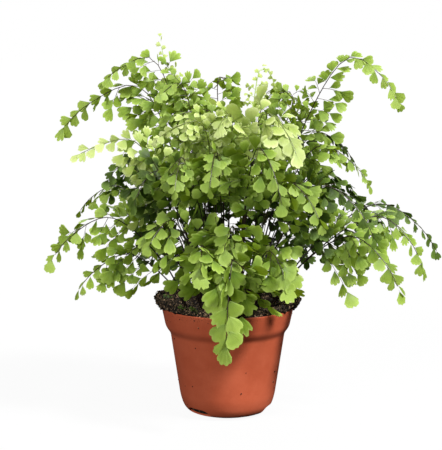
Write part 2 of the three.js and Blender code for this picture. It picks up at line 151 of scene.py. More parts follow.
# %% Helpers for finishes
class Wire:
    """One value in a finish. Arithmetic on it adds Math nodes."""

    def __init__(self, finish, socket):
        self.finish = finish
        self.socket = socket

    def split(self):
        """The three numbers of a vector or a colour, each on a wire of its own."""
        node = self.finish.add("ShaderNodeSeparateXYZ", {}, {0: self}).socket.node
        return [Wire(self.finish, output) for output in node.outputs]

    def maths(self, operation, *values):
        """A Math node on the values, in their order."""
        return self.finish.add("ShaderNodeMath", {"operation": operation}, dict(enumerate(values)))

    def __add__(self, other):
        return self.maths("ADD", self, other)

    def __sub__(self, other):
        return self.maths("SUBTRACT", self, other)

    def __rsub__(self, other):
        return self.maths("SUBTRACT", other, self)

    def __mul__(self, other):
        return self.maths("MULTIPLY", self, other)

    def __abs__(self):
        return self.maths("ABSOLUTE", self)

    __radd__ = __add__
    __rmul__ = __mul__

    def fraction(self):
        return self.maths("FRACT", self)

    def eased(self, low, high, start=0.0, end=1.0):
        """A smooth step: start below low, end above high."""
        values = {"Value": self, "From Min": low, "From Max": high, "To Min": start, "To Max": end}
        return self.finish.add("ShaderNodeMapRange", {"interpolation_type": "SMOOTHSTEP"}, values)


class Finish:
    """A material, or the sky, that is filled node by node."""

    def __init__(self, name, kind="Material"):
        self.kind = kind
        self.owner = (bpy.data.worlds if kind == "World" else bpy.data.materials).new(name)
        self.owner.use_nodes = True
        self.tree = self.owner.node_tree
        self.tree.nodes.clear()

    def add(self, kind, settings, values, output=0):
        """One node of any kind: first its settings, then the value, hex colour or wire of each socket."""
        node = self.tree.nodes.new(kind)
        for key, value in settings.items():
            setattr(node, key, value)
        for key, value in values.items():
            if isinstance(value, Wire):
                self.tree.links.new(value.socket, node.inputs[key])
            else:
                node.inputs[key].default_value = srgb(value) if isinstance(value, str) else value
        return Wire(self, node.outputs[output])

    def map(self, label):
        """The two numbers of one of the piece's own maps."""
        return self.add("ShaderNodeUVMap", {"uv_map": label}, {}).split()[:2]

    def place(self):
        """The point's own place on the object."""
        return self.add("ShaderNodeTexCoord", {}, {}, "Object")

    def noise(self, scale, detail=3.0, roughness=0.55):
        """Smooth random values from 0 to 1. scale is how many patches there are to a metre."""
        values = {"Vector": self.place(), "Scale": scale, "Detail": detail, "Roughness": roughness}
        return self.add("ShaderNodeTexNoise", {}, values)

    def blend(self, share, first, second):
        """Colour mixing: first where share is 0, second where it is 1."""
        return self.add("ShaderNodeMix", {"data_type": "RGBA"}, {0: share, 6: first, 7: second}, 2)

    def bump(self, height, distance, strength):
        """Relief that only the light sees: a height of 1 stands for distance metres."""
        return self.add("ShaderNodeBump", {}, {"Height": height, "Distance": distance, "Strength": strength})

    def principled(self, colour, roughness, gloss, **others):
        """Blender's shader for most surfaces. gloss is how much it mirrors, and 0.5 is usual."""
        values = {"Base Color": colour, "Roughness": roughness, "Specular IOR Level": gloss}
        return self.add("ShaderNodeBsdfPrincipled", {}, values | others)

    def surface(self, shader):
        """The finished material or sky, which ends in this shader."""
        end = self.tree.nodes.new(f"ShaderNodeOutput{self.kind}")
        self.tree.links.new(shader.socket, end.inputs["Surface"])
        return self.owner


def srgb(code):
    """A colour written as six hex digits, as the light values that a shader works with."""
    levels = np.array([int(code[i : i + 2], 16) for i in (0, 2, 4)]) / 255
    light = np.where(levels <= 0.04045, levels / 12.92, ((levels + 0.055) / 1.055) ** 2.4)
    return (*light.tolist(), 1.0)


print("the pot's colour as light:", np.round(srgb("A84F34"), 2).tolist())

# %% [markdown]
# ## The pot's plastic
# Nursery pots like this are moulded from terracotta-coloured plastic. It is smooth but hardly shines, so the
# light makes only a broad soft patch on it. Handling leaves faint cloudy marks, which are seen more in the
# gloss than in the colour, and peat dust clings to the band under the rim.

# %% Finish of the pot
def pot_finish():
    """Two near terracottas by a cloudy noise, and brown dust in specks high up on the band."""
    finish = Finish("pot_plastic")
    cloud = finish.noise(38.0, 5.0, 0.62)
    speck = finish.noise(900.0, 2.0)
    height = finish.place().split()[2]
    dust = height.eased(0.088, 0.099) * speck.eased(0.56, 0.66)
    plastic = finish.blend(cloud.eased(0.3, 0.7), "A84F34", "B2583C")
    colour = finish.blend(dust * 0.55, plastic, "4A2A1C")
    roughness = cloud.eased(0.3, 0.75, 0.40, 0.52) + dust * 0.3
    normal = finish.bump(finish.noise(260.0, 2.0), 0.00012, 0.35)
    return finish.surface(finish.principled(colour, roughness, 0.12, Normal=normal))


pot_plastic = pot_finish()
print("made", pot_plastic.name)

# %% [markdown]
# ## The pot
# The real pot is one thin moulded shell. It tapers to a rounded foot and steps out to a rim band. Turning a
# profile about the axis gives just that. Each corner of the profile is replaced by a short curve, for moulded
# plastic has no sharp edge. Three low arches are then cut through the foot, which let the water out.

# %% Turn the pot
TURNS = 144
WALL = 1.6
# Outside from the axis up to the rim, and then inside back down: distance from the axis, and height.
POT_PROFILE = [
    (0, 0), (27, 0), (36.8, 3), (40.6, 8.2), (43.2, 16.5), (52.1, 74.6), (56.4, 80.5), (59.85, 96.8),
    (59.9, 98.2), (58.5, 98.2), (54.9, 81.2), (50.6, 75.2), (41.6, 16.8), (39.15, 8.9), (35.8, 4.4),
    (26.6, WALL), (0, WALL),
]
CORNERS = [0, 2.4, 2.9, 2.9, 4, 2.2, 3, 0.7, 0.55, 0.55, 2.4, 2, 3.2, 2.4, 2.4, 1.8, 0]


def rounded(profile, radii, steps=5):
    """Each corner becomes a curve that starts and ends a radius away from it: (1-t)^2 before + 2t(1-t) corner
    + t^2 after. A corner of radius 0 stays as it is."""
    profile = np.array(profile, dtype=float)
    t = np.linspace(0, 1, steps)[:, None]
    pieces = []
    for i, radius in enumerate(radii):
        if radius == 0:
            pieces.append(profile[i : i + 1])
            continue
        ways = profile[[i - 1, i + 1]] - profile[i]
        before, after = profile[i] + ways * radius / np.linalg.norm(ways, axis=1, keepdims=True)
        pieces.append((1 - t) ** 2 * before + 2 * t * (1 - t) * profile[i] + t**2 * after)
    return np.vstack(pieces)


def turned(profile, turns):
    """A closed shell: each profile point (r, z) goes round to (r cos a, r sin a, z). The profile starts and
    ends on the axis."""
    angle = full_turn(turns)
    radius, height = profile[1:-1, :1], profile[1:-1, 1:]
    rings = [radius * np.cos(angle), radius * np.sin(angle), np.repeat(height, turns, axis=1)]
    ends = np.column_stack([np.zeros((2, 2)), profile[[0, -1], 1]])
    return closed_rings(np.stack(rings, axis=-1), ends)


points, faces = turned(rounded(POT_PROFILE, CORNERS) * MM, TURNS)
pot = make_piece("pot_shell", points, faces, pot_plastic, crisp=40.0)
print("pot:", len(points), "points, box", np.ptp(points, axis=0).round(4).tolist())

# %% Cut the drain slots
SLOT_AZIMUTHS = (225, 345, 105)
SLOT_WIDTH = 30
SLOT_HEIGHT = 9
SLOT_REACH = (34, 54)
SLOT_BELOW = -2


def cut_slot(piece, azimuth):
    """A low arch, z = height * (1 - (2y / width)^6), carried outwards and taken out of the piece."""
    y = np.linspace(-0.5, 0.5, 13) * SLOT_WIDTH
    arch = np.stack([y, SLOT_HEIGHT * (1 - (2 * y / SLOT_WIDTH) ** 6)], axis=-1)
    outline = np.vstack([arch, [[SLOT_WIDTH / 2, SLOT_BELOW], [-SLOT_WIDTH / 2, SLOT_BELOW]]])
    count = len(outline)
    points = np.vstack([np.column_stack([np.full(count, reach), outline]) for reach in SLOT_REACH]) * MM
    turn = math.radians(azimuth)
    spin = np.array([[math.cos(turn), -math.sin(turn), 0], [math.sin(turn), math.cos(turn), 0], [0, 0, 1]])
    near = np.arange(count)[None]
    faces = [grid_faces(2, count, wrap=True)[:, ::-1], near, near[:, ::-1] + count]
    cutter = make_piece("slot_cutter", points @ spin.T, faces, pot_plastic)
    cutter.data.polygons.foreach_set("use_smooth", np.zeros(len(cutter.data.polygons), dtype=bool))
    knife = piece.modifiers.new("slot", "BOOLEAN")
    knife.object = cutter
    knife.solver = "EXACT"
    with bpy.context.temp_override(object=piece, active_object=piece, selected_objects=[piece]):
        bpy.ops.object.modifier_apply(modifier=knife.name)
    bpy.data.meshes.remove(cutter.data)


for azimuth in SLOT_AZIMUTHS:
    cut_slot(pot, azimuth)
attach(pot, "root")
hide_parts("pot")
print("pot with its slots:", len(pot.data.polygons), "faces")

# %% [markdown]
# ## The peat's colour
# Peat is nearly black where it is damp and in shade, and a warm brown where it dries. Single grains of bark
# are brown, a few bits of straw are tan, and short fibres catch the light. So a fine noise and a Voronoi
# pattern of grains choose the colour, and a strong bump does the rest. The heap and its loose crumbs share
# the recipe, and the crumbs are the drier ones.

# %% Finish of the peat
def peat_finish(name, damp, dry):
    """damp to dry by a noise, then brown and tan by the first two numbers of each grain's random colour."""
    finish = Finish(name)
    clods = finish.noise(420.0, 5.0, 0.65)
    fibres = finish.noise(1500.0, 4.0, 0.7)
    grain = finish.add("ShaderNodeTexVoronoi", {}, {"Vector": finish.place(), "Scale": 780.0}, "Color")
    bark, straw, _ = grain.split()
    base = finish.blend(clods.eased(0.46, 0.62) * 0.44, damp, dry)
    brown = finish.blend(bark.eased(0.62, 0.74) * 0.635, base, "5C4A36")
    colour = finish.blend(straw.eased(0.86, 0.93) * 0.87, brown, "A88C6E")
    normal = finish.bump(clods + fibres * 0.5, 0.0016, 0.9)
    return finish.surface(finish.principled(colour, 0.92, 0.25, Normal=normal))


peat = peat_finish("peat_damp", "080706", "2C241C")
crumb = peat_finish("peat_crumb", "0E0B09", "66543E")
print("made", peat.name, "and", crumb.name)

# %% [markdown]
# ## The peat
# A root ball that was lifted out of a cell and pressed into this pot leaves a brim of peat standing over the
# rim at the sides and the back, while the front lies low. The surface is a grid: round the axis one way, from
# the foot up and in to the middle the other way. Its upper rows lie between a heaped profile and a level one,
# by how far round to the front they are. Fine lumps are then pushed out along the surface's own normals.

# %% Heap the peat
SOIL_TURNS = 220
SOIL_FINE = 7
PACKED = [(26.3, 1.95), (35.6, 4.7), (38.8, 9.1), (41.25, 16.9), (50.2, 75.4), (54.5, 81.3), (58.05, 98.2)]
HEAPED = [(60.8, 98.9), (65, 103), (64, 106.3), (61, 108), (53, 105.5), (42, 99.5), (27, 96.3), (0, 95.5)]
LEVEL = [(57.9, 98.5), (57.3, 99.2), (56.3, 99.8), (55.05, 100), (51.05, 100), (42.05, 98.5), *HEAPED[6:]]


def crossed_waves(x, y, seed, scale, count=9):
    """Lumps with no direction, from -1 to 1: the mean of sine waves that run every way, scale millimetres
    apart."""
    rng = np.random.default_rng(seed)
    turn = rng.uniform(0, 2 * np.pi, count)
    pitch = 2 * np.pi / (scale * MM * rng.uniform(0.7, 1.4, count))
    phase = rng.uniform(0, 2 * np.pi, count)
    waves = (x[..., None] * np.cos(turn) + y[..., None] * np.sin(turn)) * pitch + phase
    return np.sin(waves).mean(axis=-1) * math.sqrt(count) / 2


def grid_normals(grid):
    """The unit normal at each point of a grid, from the cross product of its two directions."""
    round_way = np.roll(grid, -1, axis=0) - np.roll(grid, 1, axis=0)
    return unit(np.cross(round_way, np.gradient(grid, axis=1)))


def soil_grid():
    """Points of the peat as [turn, row, (x, y, z)]: share = eased cosine of the angle from the front, and
    each upper row = heaped + share * (level - heaped)."""
    side = full_turn(SOIL_TURNS)
    share = np.clip((np.cos(side) - 0.3) / 0.65, 0, 1)
    share = (share**2 * (3 - 2 * share))[:, None, None]
    heaped, level = np.array(PACKED + HEAPED), np.array(PACKED + LEVEL)
    rows = (heaped + share * (level - heaped)) * MM
    fine = np.linspace(0, rows.shape[1] - 1, (rows.shape[1] - 1) * SOIL_FINE + 1)
    low = np.minimum(fine.astype(int), rows.shape[1] - 2)
    part = (fine - low)[None, :, None]
    rows = rows[:, low] * (1 - part) + rows[:, low + 1] * part
    for _ in range(2):
        rows[:, 1:-1] = (rows[:, :-2] + 2 * rows[:, 1:-1] + rows[:, 2:]) / 4
    away, z = rows[..., 0], rows[..., 1]
    x, y = away * np.sin(side)[:, None], -away * np.cos(side)[:, None]
    grid = np.stack([x, y, z], axis=-1)
    # The lumps fade out below the rim, where the pot holds the peat, and at the middle, where the rows meet.
    shown = np.clip((z - 0.0975) / 0.002, 0, 1) * np.clip(away / 0.004, 0, 1)
    lump = 1.7 * crossed_waves(x, y, 3, 24) + 1.6 * crossed_waves(x, y + 0.7 * z, 4, 9)
    lump += 1.2 * crossed_waves(x - 0.8 * z, y, 5, 4.2)
    return grid + grid_normals(grid) * (lump * shown * MM)[..., None]


ground = soil_grid()
# The first ring closes on the middle of the bottom, and the last row is one point, the middle of the top.
ends = [[0, 0, PACKED[0][1] * MM], ground[:, -1].mean(axis=0)]
points, faces = closed_rings(ground[:, :-1].transpose(1, 0, 2), ends)
soil = make_piece("peat_heap", points, faces, peat, crisp=180.0)
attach(soil, "root")
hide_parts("soil")
print("peat:", len(points), "points, highest", round(float(ground[..., 2].max()) / MM, 1), "mm")

# %% [markdown]
# ## Crumbs and fibres
# Looked at closely, the brim is not one skin: it is crumbs of peat and short bits of root. Each crumb is a
# rounded box with 24 faces, pushed out of shape at random, and each fibre is a thin bent rod. They are strewn
# over the grid of the peat, more on the brim than in the hollow, and a few lie on the rim. Rods are made by
# carrying a ring of points along a path, and the same helper makes all the stalks later on.

# %% Carry rods along paths
def rods(paths, radii, aside, sides=4, widths=1.0):
    """Closed rods along paths, [rod, step, (x, y, z)]. radii are the first and the last in millimetres,
    widths scales them for each rod, and aside is a vector for each rod that never runs along it. Each step's
    ring is centre + r (cos a * first + sin a * second)."""
    count, steps = paths.shape[:2]
    radius = np.atleast_2d(np.linspace(*radii, steps) * MM * widths)
    tangent = unit(np.gradient(paths, axis=1))
    first = unit(aside[:, None] - (aside[:, None] * tangent).sum(axis=-1, keepdims=True) * tangent)
    second = np.cross(tangent, first)
    angle = full_turn(sides)[:, None]
    ring = np.cos(angle) * first[:, :, None] + np.sin(angle) * second[:, :, None]
    points = paths[:, :, None] + ring * radius[:, :, None, None]
    end = np.array([[0, i, i + 1, i + 2] for i in range(1, sides - 2, 2)])
    one = np.vstack([grid_faces(steps, sides, wrap=True), end[:, ::-1], end + (steps - 1) * sides])
    share = np.broadcast_to(np.linspace(0, 1, steps)[None, :, None], points.shape[:3])
    return points.reshape(-1, 3), copies(one, count, steps * sides), share.ravel()


print("faces of a short rod:", len(rods(np.eye(2, 3)[None], (1, 1), np.array([[0, 0, 1]]))[1]))

# %% Strew the crumbs
CRUMBS_ON_BRIM = 1500
CRUMBS_IN_HOLLOW = 600
CRUMB_SIZES = (0.4, 1.7)
FIBRES = 420
FIBRE_POINTS = 5
TOP_ROW = SOIL_FINE * len(PACKED)
TOP_ROWS = ground.shape[1] - 1 - TOP_ROW
# At the front, where the cosine is over the first number, the pot's rim covers this share of the top rows.
FRONT, UNDER_RIM = 0.35, 0.28


def pick_on_soil(rng, count, inner, outer):
    """Random spots on the peat's grid and its normals there, between two shares of the way from its rim row
    to its middle. At the front none lies on the part that the pot's rim covers."""
    row = TOP_ROW + rng.uniform(inner, outer, count) * TOP_ROWS
    here = rng.uniform(0, SOIL_TURNS, count).astype(int) % SOIL_TURNS
    front = np.cos(2 * np.pi * here / SOIL_TURNS) > FRONT
    row = np.where(front, np.maximum(row, TOP_ROW + UNDER_RIM * TOP_ROWS), row)
    low = np.minimum(row.astype(int), ground.shape[1] - 2)
    part = (row - low)[:, None]
    return ground[here, low] * (1 - part) + ground[here, low + 1] * part, grid_normals(ground)[here, low]


def crumbs(rng, spots, normals, low, high):
    """Rounded boxes: the 26 outer points of a 3 x 3 x 3 grid, drawn to a sphere and then jolted at random."""
    steps = np.array([(x, y, z) for z in (-1, 0, 1) for y in (-1, 0, 1) for x in (-1, 0, 1)], dtype=float)
    outer = np.flatnonzero(np.abs(steps).max(axis=1) > 0)
    number = np.full(27, -1)
    number[outer] = np.arange(len(outer))
    cells = np.arange(27).reshape(3, 3, 3)
    faces = []
    for axis in range(3):
        for side in (0, 2):
            sheet = np.take(cells, side, axis=axis)
            quads = np.stack([sheet[:-1, :-1], sheet[1:, :-1], sheet[1:, 1:], sheet[:-1, 1:]], axis=-1)
            flip = (side == 0) == (axis != 1)
            faces.append(quads.reshape(-1, 4)[:, :: -1 if flip else 1])
    count = len(spots)
    size = rng.uniform(low, high, (count, 1, 1)) * MM * rng.uniform(0.6, 1.3, (count, 1, 3))
    jolt = 1 + rng.uniform(-0.28, 0.28, (count, len(outer), 1))
    turn = np.linalg.qr(rng.normal(size=(count, 3, 3)))[0]
    turn *= np.sign(np.linalg.det(turn))[:, None, None]
    shape = unit(steps[outer])[None] * jolt * size
    points = spots[:, None] + shape @ turn.transpose(0, 2, 1) + normals[:, None] * size.mean() * 0.2
    return points.reshape(-1, 3), copies(number[np.vstack(faces)], count, len(outer))


rng = np.random.default_rng(11)
brim = pick_on_soil(rng, CRUMBS_ON_BRIM, 0.02, 0.62)
hollow = pick_on_soil(rng, CRUMBS_IN_HOLLOW, 0.45, 0.97)
spots, normals = (np.vstack(pair) for pair in zip(brim, hollow))
crumb_points, crumb_faces = crumbs(rng, spots, normals, *CRUMB_SIZES)
fibre_spots, fibre_normals = pick_on_soil(rng, FIBRES, 0.02, 0.8)
way = unit(np.cross(fibre_normals, rng.normal(size=(FIBRES, 3))))
length = rng.uniform(2.5, 8.0, (FIBRES, 1, 1)) * MM
step = np.linspace(-0.5, 0.5, FIBRE_POINTS)[None, :, None]
arch = fibre_normals[:, None] * (0.22 - step**2) * rng.uniform(0.1, 0.9, (FIBRES, 1, 1))
paths = fibre_spots[:, None] + (way[:, None] * step + arch) * length
fibre_points, fibre_faces, _ = rods(paths, (1, 1), fibre_normals, widths=rng.uniform(0.10, 0.24, (FIBRES, 1)))
points = np.vstack([crumb_points, fibre_points])
faces = [crumb_faces, fibre_faces + len(crumb_points)]
scattered = make_piece("peat_crumbs", points, faces, crumb, crisp=75.0)
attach(scattered, "root")
print("crumbs:", len(spots), "fibres:", FIBRES, "faces:", len(scattered.data.polygons))

# %% [markdown]
# ## Specks on the pot
# Potting leaves a few specks of peat stuck to the plastic. They are made by the crumbs' helper, only smaller,
# and lie on the outer profile: half of them on the wall and half on the rim band.

# %% Leave specks on the pot
SPECKS = 46
SPECK_SIZES = (0.25, 0.75)


def wall_spots(rng, count):
    """Random spots on the wall and on the band, and which way is out there: r is read from the profile."""
    on_wall = rng.uniform(0, 1, count) < 0.5
    height = np.where(on_wall, rng.uniform(8, 74, count), rng.uniform(88, 97.5, count))
    outer = np.array(POT_PROFILE[1:8])
    away = np.interp(height, outer[:, 1], outer[:, 0])
    turn = rng.uniform(0, 2 * np.pi, count)
    out = np.stack([np.cos(turn), np.sin(turn), np.zeros(count)], axis=-1)
    return (out * away[:, None] + np.array([0, 0, 1]) * height[:, None]) * MM, out


rng = np.random.default_rng(29)
points, faces = crumbs(rng, *wall_spots(rng, SPECKS), *SPECK_SIZES)
specks = make_piece("peat_specks", points, [faces], peat, crisp=75.0)
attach(specks, "root")
print("specks on the pot:", SPECKS)

# %% [markdown]
# ## The leaflets' greens
# A maidenhair leaflet is thinner than paper. Light that falls on its back comes through it, so half of the
# finish is a translucent shader. Its veins spread from the stalk and fork twice on the way to the edge, which
# the leaflet's own map can draw: u runs across the fan and v from its stalk to its edge. Young leaflets are a
# pale yellow green. Fronds deep in the plant and at the back get the darkest green, which is partly the
# darker colour of older leaflets and partly painted shade.

# %% Finish of the leaflets
def leaf_finish(name, base, pale, shade, through):
    """base is the leaflet's colour, pale its edge, shade its root as painted shade and the green of dull
    leaflets, and through what light takes on in it.
    """
    finish = Finish(name)
    across, along = finish.map("fan")
    chance, share = finish.map("tone")
    vein = abs((across * 9.0).fraction() - 0.5)
    vein = abs(vein - along.eased(0.25, 1.0, 0.0, 0.25))
    vein = abs(vein - along.eased(0.62, 1.2, 0.0, 0.125))
    line = vein.eased(0.0, 0.07, 1.0, 0.0)
    patch = finish.noise(75.0, 2.0)
    # Painted shade: each leaflet is darker towards its root, by the stalk.
    root_shadowed = finish.blend(along.eased(0.0, 0.75), shade, base)
    edged = finish.blend(along.eased(0.7, 1.0) * 0.85, root_shadowed, pale)
    fresh = finish.blend(share.eased(0.45, 1.0) * 0.4 + chance.eased(0.55, 1.0) * 0.3, edged, pale)
    dull = patch.eased(0.45, 0.75) * 0.3 + (1 - chance.eased(0.0, 0.4)) * 0.25
    colour = finish.blend(line * 0.16, finish.blend(dull, fresh, shade), pale)
    normal = finish.bump(line + patch * 0.6, 0.00025, 0.35)
    front = finish.principled(colour, patch.eased(0.3, 0.7, 0.44, 0.58), 0.42, Normal=normal)
    back = finish.add("ShaderNodeBsdfTranslucent", {}, {"Color": through})
    return finish.surface(finish.add("ShaderNodeMixShader", {}, {0: 0.46, 1: front, 2: back}))


leaf = {
    "young": leaf_finish("leaflet_young", "BCCA70", "E2EAB0", "86A044", "D6E296"),
    "grown": leaf_finish("leaflet_grown", "84A034", "B4CA68", "48681C", "C4D45E"),
    # The darkest green: partly older leaflets' own colour, partly painted shade for fronds inside and at the
    # back.
    "deep": leaf_finish("leaflet_deep", "526C20", "7C9A3E", "20360D", "6E8828"),
}
print("made", [material.name for material in leaf.values()])

# %% [markdown]
# ## The stalks' black
# The stalks are what the name maidenhair is for: black, hard and glossy as horsehair. Only a young stalk is
# still green near its tip. The stalk's map holds how far up it a point is and how young the stalk is.

# %% Finish of the stalks
def stalk_finish():
    """Black with brown streaks, browner towards its tip, and green there where the stalk is young."""
    finish = Finish("stalk_black")
    up, young = finish.map("tone")
    streak = finish.noise(500.0, 3.0)
    black = finish.blend(streak.eased(0.35, 0.7), "120C0A", "2C1B14")
    brown = finish.blend(up.eased(0.55, 1.0) * 0.6, black, "30240F")
    colour = finish.blend(up.eased(0.35, 0.85) * young, brown, "A3BC52")
    roughness = streak.eased(0.3, 0.7, 0.26, 0.40)
    return finish.surface(finish.principled(colour, roughness, 0.5, Normal=finish.bump(streak, 0.0001, 0.3)))


stalk_black = stalk_finish()
print("made", stalk_black.name)

# %% [markdown]
# ## One leaflet
# A leaflet is a fan: it starts narrow at its hair-thin stalk, has straight sides, and ends in a round edge
# with shallow lobes. It is written as a grid, thirteen rays across and three rows from stalk to edge. The
# upper and the under side share their border, so the leaflet is closed with only 48 faces and is thinnest at
# its edge. Since thousands are needed, all the leaflets of a frond are worked out in one go.

# %% Shape the leaflets
RAYS = 13
FAN_ROWS = np.array([0.05, 0.58, 1.0])
LEAF_THICKNESS = 0.3
# The middle row without its two ends. These points are there twice, for the upper and the under side.
INSIDE = slice(RAYS + 1, 2 * RAYS - 1)


def fan_faces():
    """The 48 faces of one leaflet: 24 above, and the same 24 turned over with the middle row's own under
    side."""
    above = grid_faces(3, RAYS)
    under = np.arange(3 * RAYS)
    under[INSIDE] = 3 * RAYS + np.arange(RAYS - 2)
    return np.vstack([above[:, ::-1], under[above]])


def fans(root, out, across, normal, size, half, lean, skew, corner, lobes, start, notch, curl, fold):
    """Leaflets as [leaflet, point, (x, y, z)]. With s from -1 to 1 over the rays, a ray's angle is lean +
    half s and its length is 1 + skew s - corner |s|^2.7 - notch (1 - |sin(pi (lobes (s + 1) / 2 +
    start))|)^1.5. A row takes its share of the ray. The fan then curls along its length like part of a
    circle, folds down at its sides by fold y^2, and each lobe is a little domed."""
    forms = (half, lean, skew, corner, lobes, start, notch, curl, fold)
    half, lean, skew, corner, lobes, start, notch, curl, fold = (form[:, None, None] for form in forms)
    s = np.linspace(-1, 1, RAYS)[None, None]
    row = FAN_ROWS[None, :, None]
    wave = np.abs(np.sin(np.pi * (lobes * (s + 1) / 2 + start)))
    ray = 1 + skew * s - corner * np.abs(s) ** 2.7 - notch * (1 - wave) ** 1.5 * row**2
    angle = lean + half * s
    x, y = row * ray * np.cos(angle), row * ray * np.sin(angle)
    bend = np.maximum(curl, 0.02)
    z = -(1 - np.cos(bend * x)) / bend - fold * y**2 + 0.035 * wave * row * (x > 0.1)
    x = np.sin(bend * x) / bend
    above = np.stack([x, y, z], axis=-1).reshape(len(root), 3 * RAYS, 3) * size[:, None, None]
    below = above[:, INSIDE].copy()
    above[:, INSIDE, 2] += LEAF_THICKNESS * MM / 2
    below[..., 2] -= LEAF_THICKNESS * MM / 2
    axes = np.stack([out, across, normal], axis=1)
    return root[:, None] + np.concatenate([above, below], axis=1) @ axes


FAN_FACES = fan_faces()
grid_u, grid_v = np.meshgrid(np.linspace(0, 1, RAYS), FAN_ROWS)
FAN_MAP = np.stack([grid_u, grid_v], axis=-1).reshape(-1, 2)
FAN_MAP = np.vstack([FAN_MAP, FAN_MAP[INSIDE]])
print("faces in a leaflet:", len(FAN_FACES), "points:", len(FAN_MAP))

# %% [markdown]
# ## Where the fronds stand
# Each frond is named by its place in the plant. Its stalk tops out at a crest, arches over and ends at a
# hanging tip. Both are given by how far round the pot they are, how far out and how high, and are the solids'
# own values, so the finer fronds lie where the solid ones do. The rest says how long the leaflets are, how
# much of the stalk is bare, which way the blade faces, about how many pairs of leaflets the lowest sprigs
# carry, and which green they take, where the darkest is partly painted shade. Twelve fronds also have long
# branches, which fill the plant's low parts.

# %% The fronds
# Crest, tip, leaflet length, bare share, facing as azimuth and degrees from upright, pairs, green.
# Fronds inside the plant and at the back take the darkest green, which is partly painted shade.
FRONDS = {
    "top_young": ((169, 50, 306), (172, 62, 346), 4.6, 0.72, (270, 60), 1.6, "young"),
    "top_left_arch": ((182, 68, 322), (190, 118, 295), 10.5, 0.6, (270, 44), 1.6, "grown"),
    "top_left_inner": ((188, 42, 300), (205, 70, 284), 9.5, 0.56, (270, 48), 3.4, "grown"),
    "left_high": ((177, 80, 297), (184, 156, 250), 12.3, 0.46, (270, 58), 2.8, "grown"),
    "left_pale": ((206, 92, 252), (204, 150, 237), 10.5, 0.52, (270, 52), 2.8, "young"),
    "left_middle": ((194, 92, 230), (201, 117, 208), 10.5, 0.48, (270, 52), 3, "deep"),
    "left_back": ((158, 109, 203), (157, 157, 170), 10, 0.5, (180, 20), 2.8, "grown"),
    "left_low": ((199, 110, 184), (201, 171, 140), 11.5, 0.47, (270, 46), 3, "grown"),
    "left_lowest": ((197, 92, 150), (202, 148, 113), 11, 0.42, (270, 46), 2.4, "grown"),
    "left_front": ((235, 84, 186), (236, 126, 158), 12, 0.5, (262, 50), 2.8, "grown"),
    "back_high_left": ((128, 62, 296), (134, 124, 252), 9.5, 0.55, (134, 30), 3.4, "grown"),
    "back_high": ((98, 60, 302), (84, 116, 268), 9.5, 0.55, (90, 30), 3.4, "grown"),
    "back_high_right": ((52, 64, 292), (44, 128, 246), 9.5, 0.55, (44, 30), 3.4, "grown"),
    "back_left": ((140, 98, 222), (143, 156, 166), 11, 0.5, (143, 50), 3.4, "deep"),
    "back_middle_left": ((112, 92, 232), (114, 152, 178), 11, 0.5, (114, 52), 3.4, "deep"),
    "back_middle_right": ((72, 94, 226), (68, 154, 170), 11, 0.5, (68, 52), 3.4, "deep"),
    "back_right": ((32, 100, 216), (28, 160, 160), 11, 0.5, (28, 50), 3.4, "deep"),
    "back_low_left": ((126, 90, 160), (130, 140, 118), 10.5, 0.4, (130, 62), 3.6, "deep"),
    "back_low": ((90, 88, 156), (92, 140, 112), 10.5, 0.4, (92, 62), 3.6, "deep"),
    "back_low_right": ((48, 90, 158), (44, 142, 116), 10.5, 0.4, (44, 62), 3.6, "deep"),
    "crown_left": ((225, 22, 276), (190, 60, 268), 8.5, 0.58, (270, 45), 4, "grown"),
    "crown_right": ((350, 26, 262), (10, 64, 262), 8.5, 0.58, (270, 45), 4, "grown"),
    "young_curl": ((30, 36, 314), (22, 48, 292), 4.2, 0.82, (270, 60), 1.2, "young"),
    "young_shoot": ((322, 30, 284), (328, 38, 303), 4.2, 0.82, (270, 40), 1.2, "young"),
    "pale_front_left": ((251, 74, 270), (230, 104, 250), 7.5, 0.66, (262, 45), 3, "young"),
    "pale_front_middle": ((272, 60, 276), (262, 88, 256), 11, 0.76, (265, 34), 2.2, "young"),
    "pale_front_right": ((298, 66, 277), (304, 110, 232), 12.5, 0.7, (275, 40), 2.2, "young"),
    "centre_hanging": ((286, 92, 250), (291, 128, 194), 12, 0.62, (280, 60), 2.2, "grown"),
    "centre": ((263, 80, 246), (262, 116, 208), 11, 0.6, (268, 55), 2.6, "grown"),
    "centre_left": ((240, 78, 240), (246, 112, 205), 10.5, 0.6, (256, 55), 2.6, "grown"),
    "centre_left_low": ((216, 76, 226), (222, 112, 190), 11, 0.6, (250, 50), 2.6, "deep"),
    "right_of_centre": ((306, 84, 220), (310, 128, 174), 12, 0.55, (290, 55), 2.6, "grown"),
    "right_high": ((356, 108, 323), (349, 158, 273), 11.5, 0.52, (270, 32), 2.2, "grown"),
    "right_high_spray": ((18, 62, 290), (60, 50, 278), 9.5, 0.66, (270, 60), 2.8, "grown"),
    "right_shoulder": ((8, 80, 255), (1, 120, 220), 10, 0.44, (345, 24), 5, "deep"),
    "right_shoulder_low": ((343, 84, 246), (342, 136, 204), 10.5, 0.52, (330, 24), 4, "grown"),
    "right_far": ((5, 138, 190), (0, 196, 138), 10.5, 0.46, (300, 34), 3, "deep"),
    "right_middle": ((326, 100, 214), (330, 150, 160), 11, 0.5, (290, 45), 2.8, "deep"),
    "right_low": ((333, 120, 170), (332, 172, 114), 12, 0.52, (280, 50), 2.6, "grown"),
    "right_far_low": ((348, 136, 184), (346, 182, 128), 11, 0.5, (290, 42), 2.6, "grown"),
    "right_rim": ((318, 60, 144), (312, 86, 130), 8.5, 0.45, (280, 50), 2.2, "young"),
    "front_hanging": ((272, 96, 156), (269, 116, 70), 15, 0.34, (270, 78), 1.5, "grown"),
    "front_left": ((254, 80, 166), (259, 120, 136), 12.5, 0.46, (262, 60), 1.4, "grown"),
    "front_right": ((296, 80, 160), (298, 112, 120), 13, 0.5, (282, 60), 1.8, "grown"),
    "front_middle": ((274, 62, 180), (267, 102, 154), 13, 0.5, (270, 60), 2.8, "grown"),
}
